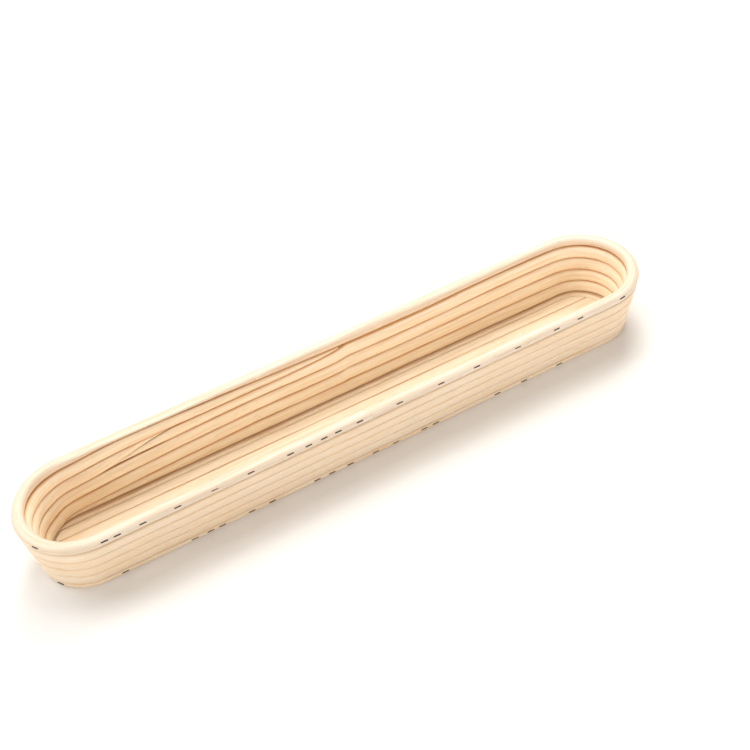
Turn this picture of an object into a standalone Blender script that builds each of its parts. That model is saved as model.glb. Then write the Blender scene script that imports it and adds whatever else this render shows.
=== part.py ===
"""Long rattan proofing basket: a coiled cane wall on a strip floor, held by wire staples.

Metres, +Z up. The basket lies along X, its underside is on Z = 0 and the origin is
under its middle. Every layer of cane follows one plan, a stadium: two straight sides
and two round ends. A point of the wall is given by a station on that plan, an inset
from the widest outline, and a height.
"""
import math

import bmesh
import bpy
from mathutils import Matrix, Vector

# ---------------------------------------------------------------- driving dimensions
LENGTH = 0.500            # over the rim, end to end
WIDTH = 0.090             # over the rim, side to side
HEIGHT = 0.053            # underside to the top of the rim
GAP = 0.0003              # clearance between neighbouring pieces

BASE_HEIGHT = 0.0055      # thickness of the base ring
BASE_INSET_SIDE = 0.0105  # how far the foot of the wall stands inside the rim
BASE_INSET_END = 0.0080   # the same at the round ends, which lean less
BASE_INNER = 0.0239       # from the centre line to the base ring's inner edge
BASE_INNER_LEFT = 0.0287  # the same at the left end, where the floor runs to the wall
RIM_HEIGHT = 0.0072       # thickness of the rim cane
RIM_DEPTH = 0.0090        # width of the rim cane across the wall
INSIDE_TOP = 0.0102       # inset of the wall's inner face under the rim
INSIDE_FOOT = 0.0170      # inset of the wall's inner face at the floor

WALL_LAPS = 4             # full turns of wall cane, before the extra part turn
FEATHER = 0.03            # share of its height that a cane keeps at a feathered tip
START_POWER = 0.5         # how bluntly the coil's first tip opens, 1 is a plain wedge
TAIL_POWER = 0.4          # the same for its last tip
SQUEEZE = 0.26            # how much the turn under the last part turn gives way to it

FLOOR_HEIGHT = 0.0054     # thickness of the floor strips at their crown
FLOOR_EDGE = 0.0046       # thickness of the floor strips at their edges
FLOOR_WIDTHS = (0.0100, 0.0096, 0.0096, 0.0095, 0.0091)   # from -Y to +Y
FLOOR_END = 0.2300        # how far the square ends reach towards +X
FLOOR_CLEAR = 0.0008      # from a floor strip's end to the piece beyond it
FLOOR_SIDE = 0.0005       # extra room beside the outer strips' left ends
FLOOR_SHOULDER = 0.0012   # width of a strip's rounded shoulder
FLOOR_CROWN = 0.0002      # rise from the shoulder to the crown

WIRE = 0.0009             # staple wire
STAPLE_WIDTH = 0.0050     # over a staple's crown
RIM_STAPLE_LEG = 0.0105   # leg length of a rim staple
BASE_STAPLE_LEG = 0.0072  # and of a base staple, which ends inside the lowest coil
STAPLE_CORNER = 0.0002    # cut corner between crown and leg
SLIT_RISE = 0.004         # how far a slit's cutter stands above the crown
RIM_STAPLE_INSET = 0.0004
RIM_STAPLE_Z = 0.0508
RIM_STAPLE_LEAN = math.radians(45.0)     # from straight down, inwards
BASE_STAPLE_PROUD = 0.0002               # how far its crown stands off the base
BASE_STAPLE_Z = 0.0030
BASE_STAPLE_LEAN = math.radians(122.0)   # from straight down, inwards and up

# where the staples stand, along X on each side, in millimetres
RIM_STAPLES_NEAR = (-202, -193, -175, -150, -123, -96, -66, -52, -40, -29, -12, 20,
                    54, 84, 119, 153, 174)
RIM_STAPLES_FAR = (-184, -163, -139, -109, -83, -65, -50, -16, 16, 45, 67, 98, 131)
BASE_STAPLES_NEAR = (-195, -143, -131, -122, -99, -83, -47, -35, -20, 1, 18, 42, 52,
                     106, 130, 162)
# and round the ends, as the direction that they face, in degrees from +X
RIM_STAPLES_END = (212, 280, 12)
BASE_STAPLES_END = (212,)

# ------------------------------------------------------------------ derived dimensions
STRAIGHT = LENGTH / 2 - WIDTH / 2        # half the length of a straight side
WALL_FOOT = BASE_HEIGHT + GAP
RIM_FOOT = HEIGHT - RIM_HEIGHT
WALL_TOP = RIM_FOOT - GAP
END_STEPS = 12                           # steps round each end
SIDE_STATIONS = (-0.178, -0.149, -0.120, -0.060, -0.022, 0.016, 0.080, 0.145)
SHARP_EDGE = math.radians(38.0)          # edges bent more than this stay crisp

# the splices: where one length of cane ends and the next begins
SCARF_FROM = -0.178
SCARF_TO = -0.120
START_FULL = -0.060       # the first turn has its full height from here
TAIL = 0.200              # the last part turn thins over this length
TAIL_TO = 0.016           # and ends here
SQUEEZE_FROM = (-0.190, -0.060)          # the turn below it gives way between these
SQUEEZE_TO = (-0.050, 0.025)             # and takes its height back between these
RIM_SPLICE_FAR = -0.058
RIM_SPLICE_NEAR = -0.005
BASE_SPLICE = 0.080
SPLICE_SLANT = 0.007      # how far a splice runs along the cane as it crosses it

# cane sections: share of the depth from outside to inside, share of the height
WALL_SECTION = ((0.00, 0.16), (0.00, 0.84), (0.09, 1.00), (0.70, 1.00), (0.90, 0.90),
                (1.00, 0.66), (1.00, 0.34), (0.90, 0.10), (0.70, 0.00), (0.09, 0.00))
RIM_SECTION = ((0.00, 0.10), (0.00, 0.50), (0.10, 0.82), (0.32, 0.97), (0.60, 1.00),
               (0.84, 0.88), (0.98, 0.58), (1.00, 0.26), (0.90, 0.00), (0.10, 0.00))
BASE_SECTION = ((0.00, 0.30), (0.01, 0.90), (0.04, 1.00), (0.94, 1.00), (1.00, 0.85),
                (1.00, 0.00), (0.10, 0.00), (0.03, 0.08))

# name, colour, roughness, metallic
CANE_RIM = ("cane_rim", (0.90, 0.76, 0.54), 0.42, 0.0)
CANE_WALL = ("cane_wall", (0.86, 0.68, 0.44), 0.48, 0.0)
CANE_FLOOR = ("cane_floor", (0.91, 0.77, 0.55), 0.50, 0.0)
CANE_BASE = ("cane_base", (0.88, 0.74, 0.53), 0.50, 0.0)
STEEL_WIRE = ("staple_wire", (0.20, 0.17, 0.14), 0.40, 1.0)


# ----------------------------------------------------------------------- small helpers
def clear_scene():
    """Remove every object, so that the script starts from nothing."""
    for item in list(bpy.data.objects):
        bpy.data.objects.remove(item, do_unlink=True)


def make_material(finish):
    """Give the Principled material for a (name, colour, roughness, metallic) finish."""
    name, colour, roughness, metallic = finish
    found = bpy.data.materials.get(name)
    if found:
        return found
    material = bpy.data.materials.new(name)
    material.use_nodes = True
    shader = material.node_tree.nodes["Principled BSDF"]
    shader.inputs["Base Color"].default_value = (*colour, 1.0)
    shader.inputs["Roughness"].default_value = roughness
    shader.inputs["Metallic"].default_value = metallic
    return material


def add_object(name, mesh, finish, parent):
    """Link a mesh as a named object with its material, under the basket's empty."""
    item = bpy.data.objects.new(name, mesh)
    bpy.context.scene.collection.objects.link(item)
    mesh.materials.append(make_material(finish))
    item.parent = parent
    return item


def mesh_from_rings(name, rings):
    """Loft a body through rings of points, with a cap at each end."""
    body = bmesh.new()
    rows = [[body.verts.new(point) for point in ring] for ring in rings]
    count = len(rows[0])
    for here, there in zip(rows, rows[1:]):
        for i in range(count):
            j = (i + 1) % count
            body.faces.new((here[i], here[j], there[j], there[i]))
    body.faces.new(rows[0])
    body.faces.new(tuple(reversed(rows[-1])))
    bmesh.ops.triangulate(body, faces=body.faces[:])
    bmesh.ops.recalc_face_normals(body, faces=body.faces[:])
    mesh = bpy.data.meshes.new(name)
    body.to_mesh(mesh)
    body.free()
    mesh.shade_smooth()
    mesh.set_sharp_from_angle(angle=SHARP_EDGE)
    return mesh


# ---------------------------------------------------------------------------- the plan
def end_station(degrees):
    """A station on a round end, from the direction that it faces."""
    angle = math.radians(degrees)
    side = STRAIGHT if math.cos(angle) > 0 else -STRAIGHT
    return side, math.cos(angle), math.sin(angle)


def lap_stations():
    """One lap: from the left tip along the far side, and back along the near side."""
    step = 180.0 / END_STEPS
    quarter = END_STEPS // 2
    lap = [end_station(180.0 - step * i) for i in range(quarter)]
    lap.append((-STRAIGHT, 0.0, 1.0))
    lap += [(x, 0.0, 1.0) for x in SIDE_STATIONS]
    lap.append((STRAIGHT, 0.0, 1.0))
    lap += [end_station(90.0 - step * i) for i in range(1, END_STEPS)]
    lap.append((STRAIGHT, 0.0, -1.0))
    lap += [(x, 0.0, -1.0) for x in reversed(SIDE_STATIONS)]
    lap.append((-STRAIGHT, 0.0, -1.0))
    lap += [end_station(-90.0 - step * i) for i in range(1, quarter)]
    return lap


LAP = lap_stations()


def station_index(x, side):
    """The number of the station at x on the far (+1) or near (-1) side."""
    return next(i for i, (mid, nx, ny) in enumerate(LAP) if mid == x and ny == side)


def place(station, inset, height, slide=0.0):
    """The point at a station, an inset and a height, moved by slide along a side."""
    mid, nx, ny = station
    reach = WIDTH / 2 - inset
    return Vector((mid + nx * reach + slide * ny, ny * reach, height))


def outside(station, height):
    """Inset of the wall's outer face, which leans out from the foot to the rim."""
    foot = BASE_INSET_SIDE + (BASE_INSET_END - BASE_INSET_SIDE) * abs(station[1])
    share = min(1.0, max(0.0, height / RIM_FOOT))
    return foot * (1.0 - share)


def inside(station, height):
    """Inset of the wall's inner face, which leans the same way all round."""
    share = (height - WALL_FOOT) / (WALL_TOP - WALL_FOOT)
    return INSIDE_FOOT + (INSIDE_TOP - INSIDE_FOOT) * share


def section_ring(station, section, foot, top, face_out, face_in, slant=0.0):
    """The section's points at one station, as a ring in space."""
    ring = []
    for depth, rise in section:
        height = foot + (top - foot) * rise
        outer = face_out(station, height)
        inset = outer + (face_in(station, height) - outer) * depth
        ring.append(place(station, inset, height, slant * (depth - 0.5)))
    return ring


# ---------------------------------------------------------------------- the coiled wall
LAP_COUNT = len(LAP)
WALL_START = 4            # the coil starts this many stations after the left tip
WALL_END = WALL_LAPS * LAP_COUNT + station_index(TAIL_TO, 1.0)


def run_length(index):
    """Distance along the plan from the left tip to a station, on the outer outline."""
    total = 0.0
    for i in range(index):
        here = place(LAP[i % LAP_COUNT], 0.0, 0.0)
        there = place(LAP[(i + 1) % LAP_COUNT], 0.0, 0.0)
        total += (there - here).length
    return total


def ramp(x, span):
    """A share that eases from 0 at the span's first end to 1 at its last."""
    share = min(1.0, max(0.0, (x - span[0]) / (span[1] - span[0])))
    return share * share * (3.0 - 2.0 * share)


def cane_weight(number):
    """Relative height of the wall cane at its numbered station, thin at its two tips."""
    full_at = station_index(START_FULL, 1.0)
    if number < full_at:
        done = run_length(number) - run_length(WALL_START)
        whole = run_length(full_at) - run_length(WALL_START)
        return max(FEATHER, (done / whole) ** START_POWER)
    last = WALL_LAPS * LAP_COUNT
    if number >= last:
        left = run_length(WALL_END - last) - run_length(number - last)
        return max(FEATHER, min(1.0, left / TAIL) ** TAIL_POWER)
    if last - LAP_COUNT <= number <= WALL_END - LAP_COUNT:
        x = LAP[number % LAP_COUNT][0]
        return 1.0 - SQUEEZE * ramp(x, SQUEEZE_FROM) * (1.0 - ramp(x, SQUEEZE_TO))
    return 1.0


def lap_heights():
    """Foot and top of the wall cane at each of its numbered stations."""
    heights = {}
    for i in range(LAP_COUNT):
        numbers = [lap * LAP_COUNT + i for lap in range(WALL_LAPS + 1)]
        numbers = [n for n in numbers if WALL_START <= n <= WALL_END]
        weights = [cane_weight(n) for n in numbers]
        room = WALL_TOP - WALL_FOOT - GAP * (len(numbers) - 1)
        foot = WALL_FOOT
        for number, weight in zip(numbers, weights):
            top = foot + room * weight / sum(weights)
            heights[number] = (foot, top)
            foot = top + GAP
    return heights


def wall_rings(first, last, heights, cut):
    """Rings of the wall cane from one numbered station to another.

    cut gives the share of the height, from and to, that the piece keeps at a station.
    """
    rings = []
    for number in range(first, last + 1):
        foot, top = heights[number]
        low, high = cut(number)
        rings.append(section_ring(LAP[number % LAP_COUNT], WALL_SECTION,
                                  foot + (top - foot) * low, foot + (top - foot) * high,
                                  outside, inside))
    return rings


def build_wall(parent):
    """The wall: two lengths of cane, wound as one coil and spliced by a long scarf."""
    heights = lap_heights()
    base = (WALL_LAPS - 1) * LAP_COUNT
    scarf_from = base + station_index(SCARF_FROM, 1.0)
    scarf_to = base + station_index(SCARF_TO, 1.0)
    slit = GAP / (heights[scarf_from][1] - heights[scarf_from][0])

    def share(number):
        done = (number - scarf_from) / (scarf_to - scarf_from)
        return min(1.0 - FEATHER - slit, max(FEATHER, done))

    def lower_cut(number):
        return (share(number) + slit, 1.0) if number >= scarf_from else (0.0, 1.0)

    def upper_cut(number):
        return (0.0, share(number)) if number <= scarf_to else (0.0, 1.0)

    lower = wall_rings(WALL_START, scarf_to, heights, lower_cut)
    upper = wall_rings(scarf_from, WALL_END, heights, upper_cut)
    return [
        add_object("wall_cane_lower", mesh_from_rings("wall_cane_lower", lower),
                   CANE_WALL, parent),
        add_object("wall_cane_upper", mesh_from_rings("wall_cane_upper", upper),
                   CANE_WALL, parent),
    ]


# ------------------------------------------------------------------- rim and base rings
def station_before(x, side):
    """The number of the last station before x, on the far (+1) or near (-1) side."""
    return max(i for i, (mid, nx, ny) in enumerate(LAP)
               if ny == side and (mid - x) * side <= 0)


def splice_ends(first, last):
    """Stations just after one splice and just before the next, given as (x, side)."""
    head = (first[0] + first[1] * GAP / 2, 0.0, first[1])
    tail = (last[0] - last[1] * GAP / 2, 0.0, last[1])
    return head, tail


def spliced_run(section, foot, top, face_out, face_in, first, last):
    """Rings of a level cane from one splice to the next, with slanted ends.

    first and last are (x, side) of the splices, and the run follows the lap's order.
    """
    start = station_before(*first)
    stop = station_before(*last)
    if stop <= start:
        stop += LAP_COUNT
    clear = GAP + SPLICE_SLANT
    inner = [LAP[number % LAP_COUNT] for number in range(start + 1, stop + 1)]
    for x, side in (first, last):
        inner = [station for station in inner
                 if station[2] != side or abs(station[0] - x) > clear]
    head, tail = splice_ends(first, last)
    route = [(head, SPLICE_SLANT)] + [(station, 0.0) for station in inner]
    route.append((tail, SPLICE_SLANT))
    return [section_ring(station, section, foot, top, face_out, face_in, slant)
            for station, slant in route]


def build_rim(parent):
    """The rim: two bent lengths of round cane that meet on the two long sides."""
    far = (RIM_SPLICE_FAR, 1.0)
    near = (RIM_SPLICE_NEAR, -1.0)
    pieces = []
    for name, first, last in (("rim_cane_right", far, near), ("rim_cane_left", near, far)):
        rings = spliced_run(RIM_SECTION, RIM_FOOT, HEIGHT, lambda station, z: 0.0,
                            lambda station, z: RIM_DEPTH, first, last)
        pieces.append(add_object(name, mesh_from_rings(name, rings),
                                 CANE_RIM, parent))
    return pieces


def base_inner(station, height):
    """Inset of the base ring's inner edge, set back at the left end for the floor."""
    mid, nx, ny = station
    reach = BASE_INNER
    if nx < 0:
        beside_floor = (BASE_INNER + FLOOR_SIDE) / max(abs(ny), 0.5)
        reach = min(BASE_INNER_LEFT, beside_floor)
    return WIDTH / 2 - reach


def build_base(parent):
    """The base ring: one flat cane under the wall, with a slanted butt joint."""
    splice = (BASE_SPLICE, 1.0)
    rings = spliced_run(BASE_SECTION, 0.0, BASE_HEIGHT, outside, base_inner,
                        splice, splice)
    return add_object("base_ring", mesh_from_rings("base_ring", rings), CANE_BASE,
                      parent)


# ------------------------------------------------------------------------ floor strips
def floor_reach(y):
    """Where a floor strip ends at a given y, towards -X and towards +X."""
    left_radius = BASE_INNER_LEFT - FLOOR_CLEAR
    right_radius = BASE_INNER - FLOOR_CLEAR
    left = -STRAIGHT - math.sqrt(max(0.0, left_radius ** 2 - y ** 2))
    right = STRAIGHT + math.sqrt(max(0.0, right_radius ** 2 - y ** 2))
    return left, min(right, FLOOR_END)


def build_floor(parent):
    """The floor: parallel strips of cane with slightly crowned tops."""
    edge = -sum(FLOOR_WIDTHS) / 2
    rise = FLOOR_HEIGHT - FLOOR_CROWN
    strips = []
    for number, width in enumerate(FLOOR_WIDTHS, start=1):
        low = edge + GAP / 2
        high = edge + width - GAP / 2
        middle = (low + high) / 2
        quarter = (high - low) / 4
        profile = ((low, FLOOR_EDGE), (low + FLOOR_SHOULDER, rise),
                   (low + quarter, FLOOR_HEIGHT), (middle, FLOOR_HEIGHT),
                   (high - quarter, FLOOR_HEIGHT), (high - FLOOR_SHOULDER, rise),
                   (high, FLOOR_EDGE))
        rings = []
        for y, top in profile:
            left, right = floor_reach(y)
            rings.append([Vector((left, y, 0.0)), Vector((right, y, 0.0)),
                          Vector((right, y, top)), Vector((left, y, top))])
        name = f"floor_strip_{number}"
        strips.append(add_object(name, mesh_from_rings(name, rings),
                                 CANE_FLOOR, parent))
        edge += width
    return strips


# ----------------------------------------------------------------------------- staples
def staple_mesh(leg):
    """A staple: crown along X, legs down -Z, in square wire."""
    half = STAPLE_WIDTH / 2
    outline = ((-half, -leg), (-half, -STAPLE_CORNER), (-half + STAPLE_CORNER, 0.0),
               (half - STAPLE_CORNER, 0.0), (half, -STAPLE_CORNER), (half, -leg),
               (half - WIRE, -leg), (half - WIRE, -WIRE),
               (-half + WIRE, -WIRE), (-half + WIRE, -leg))
    body = bmesh.new()
    face = body.faces.new([body.verts.new((x, -WIRE / 2, z)) for x, z in outline])
    pulled = bmesh.ops.extrude_face_region(body, geom=[face])
    moved = [part for part in pulled["geom"] if isinstance(part, bmesh.types.BMVert)]
    bmesh.ops.translate(body, verts=moved, vec=(0.0, WIRE, 0.0))
    bmesh.ops.triangulate(body, faces=body.faces[:])
    bmesh.ops.recalc_face_normals(body, faces=body.faces[:])
    mesh = bpy.data.meshes.new("staple")
    body.to_mesh(mesh)
    body.free()
    return mesh


def slot_mesh(leg):
    """The cutter for a staple's slit: a box round it with the gap on every side."""
    body = bmesh.new()
    bmesh.ops.create_cube(body, size=1.0)
    height = leg + GAP + SLIT_RISE
    bmesh.ops.scale(body, verts=body.verts[:],
                    vec=(STAPLE_WIDTH + 2 * GAP, WIRE + 2 * GAP, height))
    bmesh.ops.translate(body, verts=body.verts[:],
                        vec=(0.0, 0.0, SLIT_RISE - height / 2))
    mesh = bpy.data.meshes.new("slot")
    body.to_mesh(mesh)
    body.free()
    return mesh


def staple_frame(station, inset, height, lean):
    """Turn and place for a staple at a station; lean runs from down towards inside."""
    mid, nx, ny = station
    inwards = Vector((-nx, -ny, 0.0))
    drive = inwards * math.sin(lean) + Vector((0.0, 0.0, -1.0)) * math.cos(lean)
    up = -drive
    along = Vector((-ny, nx, 0.0))
    across = up.cross(along)
    turn = Matrix((along, across, up)).transposed().to_4x4()
    return Matrix.Translation(place(station, inset, height)) @ turn


def rim_staple_places():
    """Name and frame of every rim staple."""
    places = []
    stations = [end_station(degrees) for degrees in RIM_STAPLES_END]
    stations += [(x / 1000.0, 0.0, -1.0) for x in RIM_STAPLES_NEAR]
    stations += [(x / 1000.0, 0.0, 1.0) for x in RIM_STAPLES_FAR]
    for number, station in enumerate(stations, start=1):
        frame = staple_frame(station, RIM_STAPLE_INSET, RIM_STAPLE_Z, RIM_STAPLE_LEAN)
        places.append((f"rim_staple_{number:02d}", frame))
    return places


def base_staple_places():
    """Name and frame of every base staple."""
    places = []
    stations = [end_station(degrees) for degrees in BASE_STAPLES_END]
    stations += [(x / 1000.0, 0.0, -1.0) for x in BASE_STAPLES_NEAR]
    for number, station in enumerate(stations, start=1):
        inset = outside(station, BASE_STAPLE_Z) - BASE_STAPLE_PROUD
        frame = staple_frame(station, inset, BASE_STAPLE_Z, BASE_STAPLE_LEAN)
        places.append((f"base_staple_{number:02d}", frame))
    return places


def cut_slots(canes, slots):
    """Cut every staple's slit out of the canes that it passes through."""
    body = bmesh.new()
    for slot in slots:
        body.from_mesh(slot)
        bpy.data.meshes.remove(slot)
    mesh = bpy.data.meshes.new("slots")
    body.to_mesh(mesh)
    body.free()
    cutter = bpy.data.objects.new("slot_cutter", mesh)
    bpy.context.scene.collection.objects.link(cutter)
    cutter.hide_render = True
    cutter.display_type = "WIRE"
    for cane in canes:
        cut = cane.modifiers.new("staple_slits", "BOOLEAN")
        cut.operation = "DIFFERENCE"
        cut.solver = "EXACT"
        cut.object = cutter


def build_staples(parent, canes):
    """Every staple as its own piece, and its slit in the canes."""
    slots = []
    for leg, places in ((RIM_STAPLE_LEG, rim_staple_places()),
                        (BASE_STAPLE_LEG, base_staple_places())):
        for name, frame in places:
            staple = add_object(name, staple_mesh(leg), STEEL_WIRE, parent)
            staple.matrix_world = frame
            slot = slot_mesh(leg)
            slot.transform(frame)
            slots.append(slot)
    cut_slots(canes, slots)


def build_basket():
    """Build the whole basket under one empty."""
    clear_scene()
    basket = bpy.data.objects.new("basket", None)
    bpy.context.scene.collection.objects.link(basket)
    canes = build_rim(basket)
    canes += build_wall(basket)
    canes.append(build_base(basket))
    build_floor(basket)
    build_staples(basket, canes)


build_basket()
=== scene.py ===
"""Finished look of a long rattan proofing basket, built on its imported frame.

Every cane starts as a flat sheet of cane skin, which is rolled to the cane's section and
wound along the basket's plan. The wall is one coil that climbs four and a bit turns.
"""

import logging
import math
from dataclasses import dataclass
from enum import Enum
from functools import partial
from typing import Callable

import bpy
import numpy as np
from mathutils import Matrix, Vector


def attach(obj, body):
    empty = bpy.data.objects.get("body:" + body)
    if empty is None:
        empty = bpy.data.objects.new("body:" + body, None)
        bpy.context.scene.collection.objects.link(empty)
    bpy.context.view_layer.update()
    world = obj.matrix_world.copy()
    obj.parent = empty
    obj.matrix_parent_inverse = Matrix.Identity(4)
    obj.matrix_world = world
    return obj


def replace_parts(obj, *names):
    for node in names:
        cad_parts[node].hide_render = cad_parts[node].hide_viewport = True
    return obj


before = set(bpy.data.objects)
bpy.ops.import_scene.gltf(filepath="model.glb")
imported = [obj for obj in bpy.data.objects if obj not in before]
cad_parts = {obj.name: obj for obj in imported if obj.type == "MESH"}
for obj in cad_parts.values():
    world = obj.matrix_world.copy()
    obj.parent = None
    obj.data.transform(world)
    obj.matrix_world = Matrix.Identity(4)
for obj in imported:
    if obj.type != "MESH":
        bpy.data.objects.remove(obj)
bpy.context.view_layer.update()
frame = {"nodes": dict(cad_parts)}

Colour = tuple[float, float, float]
Scale = tuple[float, float, float]
Array = np.ndarray
LOG = logging.getLogger("basket")
HAIRLINE = 0.00008        # gap that stays between pressed canes
SEAM = 0.000002           # a rolled sheet's two edges are merged within this
SHARP = math.radians(50.0)            # steeper edges than this stay sharp


# ------------------------------------------------------------------------ named options
class Side(Enum):
    """The two long sides of the basket."""

    FAR = 1.0
    NEAR = -1.0


class Slot(Enum):
    """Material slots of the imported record."""

    RIM = "rim_cane"
    WALL = "wall_cane"
    FLOOR = "floor_cane"
    BASE = "base_cane"
    WIRE = "staple_wire"


# ------------------------------------------------------------------------ small helpers
def smooth(value: Array, low: float, high: float) -> Array:
    """Ease from 0 at low to 1 at high.

    Args:
        value: Where to read the ramp.
        low: Start of the ramp.
        high: End of the ramp.

    Returns:
        The eased share at every value.
    """
    share = np.clip((value - low) / (high - low), 0.0, 1.0)
    return share * share * (3.0 - 2.0 * share)


def wobble(run: Array, seed: int) -> Array:
    """Slow hand-made unevenness along a cane, between about -1 and 1.

    Args:
        run: Distance along the cane, in metres.
        seed: Picks one of many courses.

    Returns:
        The unevenness at every distance.
    """
    dice = np.random.default_rng(seed)
    total = np.zeros_like(run)
    for wave, share in ((0.170, 0.45), (0.073, 0.30), (0.031, 0.17), (0.013, 0.08)):
        length = wave * dice.uniform(0.85, 1.15)
        total += share * np.sin(2.0 * math.pi * (run / length + dice.uniform()))
    return total


def deselect() -> None:
    """Leave nothing selected, so that an operator acts on its own piece only."""
    for item in bpy.context.selected_objects:
        item.select_set(False)


def settle(piece: bpy.types.Object) -> None:
    """Let a finished piece ride on the basket.

    Args:
        piece: The finished object.
    """
    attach(piece, "root")
    LOG.info("%s: %d faces", piece.name, len(piece.data.polygons))


# ----------------------------------------------------------------------------- the plan
@dataclass(frozen=True)
class Plan:
    """The stadium outline that every layer of cane follows.

    A point is given by a run, the distance along the widest outline from the left tip
    over the far side, an inset from that outline, and a height.
    """

    length: float = 0.500
    width: float = 0.090
    height: float = 0.053
    rim_foot: float = 0.0458
    wall_foot: float = 0.0052
    wall_top: float = 0.0455
    lean_side: float = 0.0105
    lean_end: float = 0.0080
    inside_foot: float = 0.0170
    inside_top: float = 0.0102
    # how far the joint under the rim rides up inside: a rise, and the runs that it grows over
    ride_ups: tuple[tuple[float, float, float], ...] = (
        (0.0044, 0.055, 0.115), (-0.0052, 0.130, 0.330),
        (0.0020, 0.350, 0.435), (-0.0012, 0.455, 0.500))
    ride_depth: tuple[float, float] = (0.3, 0.9)      # and the depths that it grows over

    @property
    def radius(self) -> float:
        """Radius of the round ends."""
        return self.width / 2.0

    @property
    def straight(self) -> float:
        """Half the length of a straight side."""
        return self.length / 2.0 - self.radius

    @property
    def quarter(self) -> float:
        """Length of a quarter of a round end."""
        return math.pi * self.radius / 2.0

    @property
    def lap(self) -> float:
        """Length of one full turn."""
        return 4.0 * self.quarter + 4.0 * self.straight

    def run_at(self, x: float, side: Side) -> float:
        """The run at x on a long side.

        Args:
            x: Place along the basket.
            side: Which long side.

        Returns:
            The distance along the outline.
        """
        if side is Side.FAR:
            return self.quarter + self.straight + x
        return 3.0 * self.quarter + 3.0 * self.straight - x

    def turn(self, run: Array) -> tuple[Array, Array, Array]:
        """Centre and outward direction of the plan along a run.

        Args:
            run: Distances along the outline.

        Returns:
            The x of the centre that the outline turns about, and the direction's x and y.
        """
        run = np.mod(run, self.lap)
        quarter, side = self.quarter, 2.0 * self.straight
        far = run - quarter
        right = far - side
        near = right - 2.0 * quarter
        left = near - side
        angle = np.where(far < 0.0, math.pi - run / self.radius,
                         np.where(right < 0.0, math.pi / 2.0, math.pi / 2.0 - right / self.radius))
        angle = np.where(near >= 0.0, -math.pi / 2.0, angle)
        angle = np.where(left >= 0.0, -math.pi / 2.0 - left / self.radius, angle)
        middle = np.where(far < 0.0, -self.straight, -self.straight + np.clip(far, 0.0, side))
        middle = np.where(near >= 0.0, self.straight - np.clip(near, 0.0, side), middle)
        return middle, np.cos(angle), np.sin(angle)

    def outside(self, run: Array, height: Array) -> Array:
        """Inset of the wall's outer face, which leans less at the round ends.

        Args:
            run: Distances along the outline.
            height: Heights above the table.

        Returns:
            The inset at every point.
        """
        ends = np.abs(self.turn(run)[1])
        foot = self.lean_side + (self.lean_end - self.lean_side) * ends
        return foot * (1.0 - np.clip(height / self.rim_foot, 0.0, 1.0))

    def inside(self, height: Array) -> Array:
        """Inset of the wall's inner face."""
        share = (height - self.wall_foot) / (self.wall_top - self.wall_foot)
        return self.inside_foot + (self.inside_top - self.inside_foot) * share

    def level(self, run: Array, depth: Array) -> Array:
        """No ride-up at all, for the canes that lie flat."""
        return 0.0 * run

    def swell(self, run: Array, depth: Array) -> Array:
        """How far the joint under the rim rides up, most inside and where the coil is five high.

        Args:
            run: Distances along the outline.
            depth: Shares of the cane's depth.

        Returns:
            The rise at every point.
        """
        total = np.zeros_like(run)
        for rise, low, high in self.ride_ups:
            total += rise * smooth(run % self.lap, low, high)
        return total * smooth(depth, *self.ride_depth)

    def spots(self, run: Array, inset: Array, height: Array) -> Array:
        """Points in space for places on the plan.

        Args:
            run: Distances along the outline.
            inset: Distances inwards from it.
            height: Heights above the table.

        Returns:
            The points, one row each.
        """
        middle, towards_x, towards_y = self.turn(run)
        reach = self.radius - inset
        return np.stack([middle + towards_x * reach, towards_y * reach,
                         height + 0.0 * reach], axis=1)


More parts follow.
